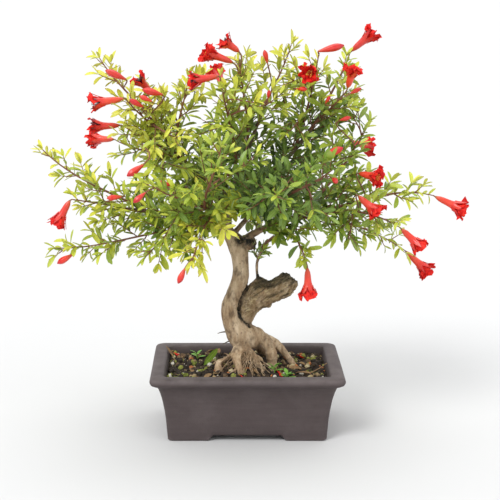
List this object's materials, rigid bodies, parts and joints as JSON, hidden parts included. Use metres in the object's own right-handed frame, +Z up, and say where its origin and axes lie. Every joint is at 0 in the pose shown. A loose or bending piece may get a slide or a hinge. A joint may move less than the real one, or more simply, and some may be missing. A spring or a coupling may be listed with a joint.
{
  "type": "pomegranate bonsai tree",
  "caption": "Dwarf pomegranate bonsai: curved trunk with exposed roots and a cut stub, narrow leaves and red trumpet flowers, in a low rectangular unglazed pot on corner feet.",
  "frame": {"origin": "on the table under the centre of the pot, which is the centre of the whole object's footprint", "axes": "+X along the pot's long side, to the right seen from the front; +Y to the back; +Z up"},
  "size_m": [0.4023, 0.2823, 0.3793],
  "materials": {
    "stoneware": "unglazed dark brown-grey stoneware, matt and slightly dusty, lighter along the lip",
    "drain_screen": "black moulded plastic mesh",
    "soil": "dark bonsai soil under a top dressing of tan, white and orange grit, with moss and fallen leaves",
    "bark": "grey-tan bark with fine cracks and flakes, rough and matt, darker on the cut stub",
    "leaf": "narrow glossy leaves, yellow-green at the tips to deep green inside, on thin reddish-brown twigs",
    "bloom": "waxy scarlet calyx with crumpled satin red petals and yellow stamens"
  },
  "bodies": {
    "root": {"pot": "stoneware", "drain_screen_left": "drain_screen", "drain_screen_right": "drain_screen", "soil": "soil", "trunk": "bark", "bloom_bud_left_crest": "bloom", "bloom_bud_right_front": "bloom", "bloom_bud_upper_left": "bloom", "bloom_long_bud_top": "bloom", "bloom_open_back_left": "bloom", "bloom_open_back_right": "bloom", "bloom_open_back_top": "bloom", "bloom_open_hanging": "bloom", "bloom_open_left": "bloom", "bloom_open_left_crest": "bloom", "bloom_open_left_hanging": "bloom", "bloom_open_right_cluster": "bloom", "bloom_open_right_far": "bloom", "bloom_open_right_low": "bloom", "bloom_open_right_lowest": "bloom", "bloom_open_right_side": "bloom", "bloom_open_right_upper": "bloom", "bloom_open_top_facing": "bloom", "bloom_open_top_front": "bloom", "bloom_open_top_left": "bloom", "bloom_open_top_right": "bloom", "bloom_spent_top": "bloom", "bloom_spent_upper_left": "bloom", "spray_back_centre": "leaf", "spray_back_left_low": "leaf", "spray_back_left_mid": "leaf", "spray_back_low": "leaf", "spray_back_right_low": "leaf", "spray_back_right_mid": "leaf", "spray_back_top": "leaf", "spray_crest_left": "leaf", "spray_front_centre": "leaf", "spray_front_centre_left": "leaf", "spray_front_left": "leaf", "spray_front_low_bright": "leaf", "spray_front_right": "leaf", "spray_hanging_right": "leaf", "spray_left_flower_arm": "leaf", "spray_left_low": "leaf", "spray_left_reach": "leaf", "spray_low_left_front": "leaf", "spray_mid_left": "leaf", "spray_right_low": "leaf", "spray_right_lowest": "leaf", "spray_right_mid": "leaf", "spray_right_reach": "leaf", "spray_right_upper": "leaf", "spray_stub_spray": "leaf", "spray_top_centre": "leaf", "spray_top_left_front": "leaf", "spray_top_left_pair": "leaf", "spray_top_right_reach": "leaf", "spray_top_right_stem": "leaf", "spray_upper_left": "leaf", "spray_upper_left_front": "leaf"}
  },
  "joints": []
}
